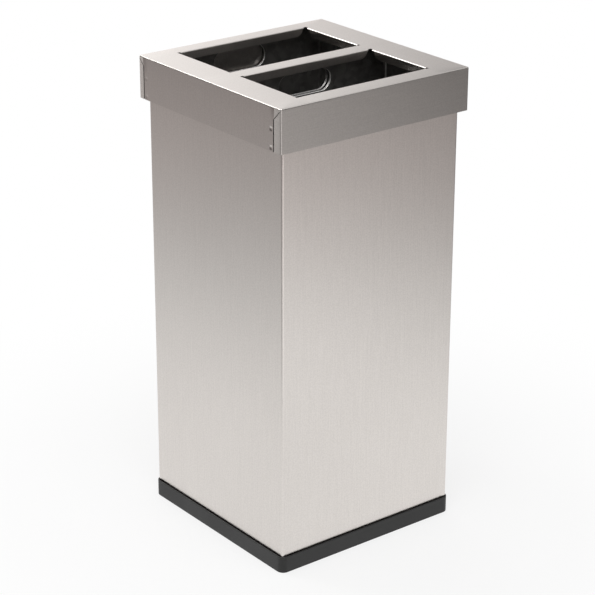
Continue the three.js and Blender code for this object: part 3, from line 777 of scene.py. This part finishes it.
# The lap: the wrap's end lies over its beginning, down the end wall.
bpy.ops.object.mode_set(mode="EDIT")
bpy.ops.mesh.select_all(action="DESELECT")
lap_top = RIM_LOW - LINER_SHEET
bpy.ops.mesh.primitive_cube_add(
    size=1,
    location=(SEAM_WALL - LINER_SHEET / 4, SEAM_MIDDLE, (LINER_FOOT + lap_top) / 2),
    scale=(LINER_SHEET * 1.5, SEAM_WIDTH, lap_top - LINER_FOOT))
pick("EDGE", lambda middle, line: near(middle.x, SEAM_WALL - LINER_SHEET))
bpy.ops.mesh.bevel(offset=LAP_EDGE, segments=2, affect="EDGES")
bpy.ops.object.mode_set(mode="OBJECT")
shade(liner)

zinc = bpy.data.materials.new("liner_zinc")
coat = new_tree(zinc)
spot = coat.node("TexCoord", output="Object")
crystals = coat.node("TexVoronoi", {"Vector": spot, "Scale": 120}, output="Color")
spangle = coat.node("SeparateColor", {0: crystals}, output="Red")
cloud = coat.node("TexNoise", {"Vector": spot, "Scale": 12, "Detail": 4})
skin = coat.node("BsdfPrincipled", {
    "Base Color": (spangle * 0.4 + cloud * 0.6).tint((0.22, 0.213, 0.206), (0.46, 0.449, 0.438)),
    "Metallic": 1,
    "Roughness": 0.34 + cloud * 0.14 + spangle * 0.06,
})
coat.node("OutputMaterial", {"Surface": skin})
liner.data.materials.append(zinc)

# Light bare metal at the grip holes' cut ends; on their rounded folds and in one corner, painted
# highlight.
bare_and_highlight = bpy.data.materials.new("liner_cut_edge")
edge = new_tree(bare_and_highlight)
spot = edge.node("TexCoord", output="Object")
wear = edge.node("TexNoise", {"Vector": spot, "Scale": 160, "Detail": 3})
skin = edge.node("BsdfPrincipled", {
    "Base Color": wear.tint((0.8, 0.78, 0.76), (0.95, 0.94, 0.92)),
    "Metallic": 0.45,
    "Roughness": 0.34 + wear * 0.1,
})
edge.node("OutputMaterial", {"Surface": skin})
liner.data.materials.append(bare_and_highlight)
corner_start = RIM_HALF - RIM_CORNER - HAIR
for face in liner.data.polygons:
    place, lean = face.center, face.normal
    if place.z > RIM_LOW - MM:
        continue
    from_middle = Vector((max(abs(place.x) - GRIP_FLAT, 0), place.z - GRIP_HEIGHT)).length
    depth = min(((place.y - wall) * out for wall, out in LINER_WALLS), key=abs)
    turned = abs(depth - GRIP_TURN) < 0.1 * MM or HAIR < depth < GRIP_ROUND
    in_corner = place.x > corner_start and place.y > RIM_NEAR - RIM_CORNER
    # The grip holes' turned ends and rounds and the corner's inward faces get it, partly as painted
    # highlight.
    if (turned and from_middle < GRIP_RADIUS + BARE_AND_HIGHLIGHT_WIDTH) or (in_corner and max(lean.x, lean.y) < -0.2):
        face.material_index = 1

bpy.ops.object.duplicate()
rear = bpy.context.object
rear.name = rear.data.name = "liner_rear_sheet"
rear.rotation_euler = (0, 0, pi)
bpy.ops.object.transform_apply(location=True, rotation=True, scale=True)
for piece, which in ((liner, "front"), (rear, "rear")):
    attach(piece, "liner_" + which)
    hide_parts(f"liner_{which}_shell")

# The flat plates keep their CAD shape: both liners' bottoms, the tray and the strip behind the seam.
for name, metal in (
    ("liner_front_base", zinc),
    ("liner_rear_base", zinc),
    ("casing_floor", zinc),
    ("casing_seam_strip", casing.data.materials[0]),
):
    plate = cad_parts[name]
    plate.data.materials.clear()
    plate.data.materials.append(metal)

# ---- Rivets ----
# Blind rivets of drawn alloy hold the tray in the casing and close each liner's lap seam. The domed
# head lies outside with the broken-off mandrel in its hole, and the upset end is inside.
TURNED_SIDES = 24


def turn_up(name, profile):
    """A turned piece about Z: a disc at the first radius and height, drawn on from one to the next."""
    bpy.ops.object.select_all(action="DESELECT")
    (radius, height), *rest = profile
    bpy.ops.mesh.primitive_circle_add(
        vertices=TURNED_SIDES, radius=radius * MM, fill_type="NGON", location=(0, 0, height * MM))
    bpy.ops.object.transform_apply(location=True, rotation=True, scale=True)
    piece = bpy.context.object
    piece.name = piece.data.name = name
    bpy.ops.object.mode_set(mode="EDIT")
    pick("EDGE", lambda middle, line: True)
    for next_radius, next_height in rest:
        rise = (0, 0, (next_height - height) * MM)
        bpy.ops.mesh.extrude_edges_move(TRANSFORM_OT_translate={"value": rise})
        scale = next_radius / radius
        bpy.ops.transform.resize(value=(scale, scale, 1), center_override=(0, 0, 0))
        radius, height = next_radius, next_height
    bpy.ops.mesh.edge_face_add()
    bpy.ops.mesh.select_all(action="SELECT")
    bpy.ops.mesh.normals_make_consistent(inside=False)
    bpy.ops.object.mode_set(mode="OBJECT")
    return piece


def plated(name, dark, light, rough, scale):
    """Bare or plated metal with faint cloudy wear."""
    metal = bpy.data.materials.new(name)
    tree = new_tree(metal)
    spot = tree.node("TexCoord", output="Object")
    cloud = tree.node("TexNoise", {"Vector": spot, "Scale": scale, "Detail": 4})
    skin = tree.node("BsdfPrincipled", {
        "Base Color": cloud.tint(dark, light),
        "Metallic": 1,
        "Roughness": rough + cloud * 0.15,
        "Normal": tree.node("Bump", {"Height": cloud, "Strength": 0.2, "Distance": 0.0001}),
    })
    tree.node("OutputMaterial", {"Surface": skin})
    return metal


def place_copies(model, rides):
    """Puts a copy of a piece modelled about Z, its head up, in place of each CAD node. rides pairs the
    node's name with its body, the direction its head faces and the head's height over the sheet."""
    for node, body, outwards, proud in rides:
        bpy.ops.object.select_all(action="DESELECT")
        model.select_set(True)
        bpy.context.view_layer.objects.active = model
        bpy.ops.object.duplicate()
        piece = bpy.context.object
        piece.name = piece.data.name = node + "_turned"
        outwards = Vector(outwards)
        low, high = (Vector(corner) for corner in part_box(node))
        face = (low + high) / 2
        for axis in range(3):
            if outwards[axis]:
                face[axis] = (high if outwards[axis] > 0 else low)[axis] - outwards[axis] * proud
        piece.rotation_euler = outwards.to_track_quat("Z", "Y").to_euler()
        piece.location = face
        bpy.ops.object.transform_apply(location=True, rotation=True, scale=True)
        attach(piece, body)
        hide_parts(node)
    bpy.data.objects.remove(model)


RIVET_HEAD = 1.1 * MM
# Radii and heights in millimetres, from the upset end over the shank and head to the mandrel's stump.
RIVET_PROFILE = (
    (0.7, -3.3), (0.9, -3.5), (1.7, -3.5), (2.2, -3.2), (2.3, -2.4), (2.0, -2),
    (1.6, -2), (1.6, 0), (3.2, 0), (3.1, 0.35), (2.5, 0.75), (1.7, 1), (1.05, 1.1),
    (0.9, 1), (0.85, 0.5), (0.6, 0.5), (0.5, 0.7), (0.2, 0.75),
)
SIDES = ((0, -1, 0), (1, 0, 0), (0, 1, 0), (-1, 0, 0))
rivet = turn_up("rivet", RIVET_PROFILE)
shade(rivet)
rivet.data.materials.append(plated("rivet_alloy", (0.5, 0.5, 0.5), (0.7, 0.7, 0.7), 0.3, 400))
rides = [(f"floor_rivet_{i + 1}", "casing", SIDES[i // 2], RIVET_HEAD) for i in range(8)]
for which, outwards in (("front", (-1, 0, 0)), ("rear", (1, 0, 0))):
    rides += [(f"liner_{which}_rivet_{i + 1}", "liner_" + which, outwards, RIVET_HEAD) for i in range(4)]
place_copies(rivet, rides)

# ---- Screws ----
# Eight pan-head screws of zinc-plated steel with a cross recess. They are driven from below, up through
# the ring's web into the tray, and pull the ring against it.
SCREW_HEAD = 2.6 * MM
RECESS_REACH = 1.9 * MM
RECESS_HALF = 0.45 * MM
RECESS_DEPTH = 1.3 * MM
RECESS_TAPER = 0.6
# Radii and heights in millimetres, from the point up the thread and shank to the head's top.
THREAD = [(1.35 + 0.4 * (i % 2), -1 - 0.45 * i) for i in range(14)]
SCREW_PROFILE = [
    (0.4, -9), (1.1, -8.2), *reversed(THREAD), (1.75, -0.5), (1.75, 0),
    (4, 0), (4, 1.5), (3.6, 2.1), (2.8, 2.6),
]
screw = turn_up("screw", SCREW_PROFILE)
bpy.ops.object.mode_set(mode="EDIT")
for offset in (-RECESS_REACH, -RECESS_HALF, RECESS_HALF, RECESS_REACH):
    for direction in (X, Y):
        pick("FACE", lambda middle, normal: near(middle.z, SCREW_HEAD))
        cut(direction * offset, direction)


def in_cross(middle, normal):
    reach, aside = sorted((abs(middle.x), abs(middle.y)), reverse=True)
    return near(middle.z, SCREW_HEAD) and reach < RECESS_REACH and aside < RECESS_HALF


pick("FACE", in_cross)
raise_face(-RECESS_DEPTH)
bpy.ops.transform.resize(value=(RECESS_TAPER, RECESS_TAPER, 1), center_override=(0, 0, 0))
bpy.ops.object.mode_set(mode="OBJECT")
shade(screw)
screw.data.materials.append(plated("screw_zinc", (0.46, 0.47, 0.49), (0.66, 0.67, 0.68), 0.22, 300))
rides = [(f"base_screw_{i + 1}", "casing", (0, 0, -1), SCREW_HEAD) for i in range(8)]
place_copies(screw, rides)
